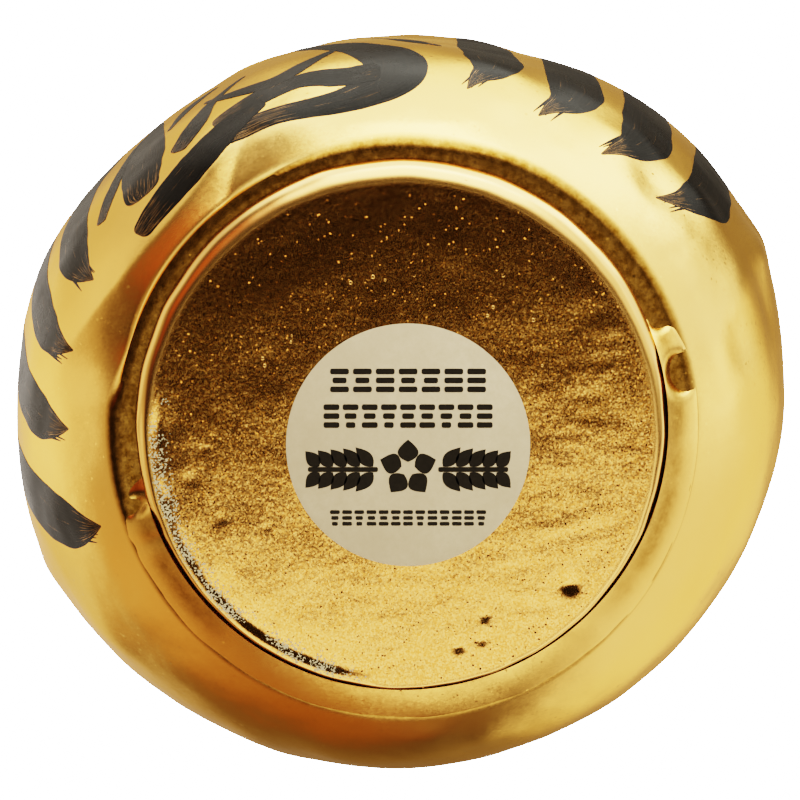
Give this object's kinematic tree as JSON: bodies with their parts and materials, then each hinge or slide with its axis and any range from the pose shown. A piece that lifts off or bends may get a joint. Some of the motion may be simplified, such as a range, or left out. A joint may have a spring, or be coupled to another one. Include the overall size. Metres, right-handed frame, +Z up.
{
  "type": "daruma doll",
  "caption": "Round hollow papier-mache doll with a hooded face, brushed ink stripes and a moulded clay weight underneath that it stands on.",
  "frame": {"origin": "centre of the ring that the doll stands on, at the bottom of the clay weight", "axes": "+Z up, the face looks along -Y, +X to the right of someone looking at the face"},
  "size_m": [0.103, 0.0964, 0.11],
  "materials": {
    "gold_lacquer": "satin gold lacquer over moulded pulp",
    "strip_paper": "matt, unpainted",
    "lacquered_clay": "satin gold lacquer over unfired clay",
    "hide_glue": "satin, gold-lacquered with the body",
    "label_paper": "matt",
    "black_ink": "satin brushed ink",
    "face_paint": "matt"
  },
  "bodies": {
    "root": {"shell_front": "gold_lacquer", "shell_back": "gold_lacquer", "seam_strip_left": "strip_paper", "seam_strip_right": "strip_paper", "seam_strip_crown": "strip_paper", "base_weight": "lacquered_clay", "glue_bead": "hide_glue", "label": "label_paper"}
  },
  "joints": []
}
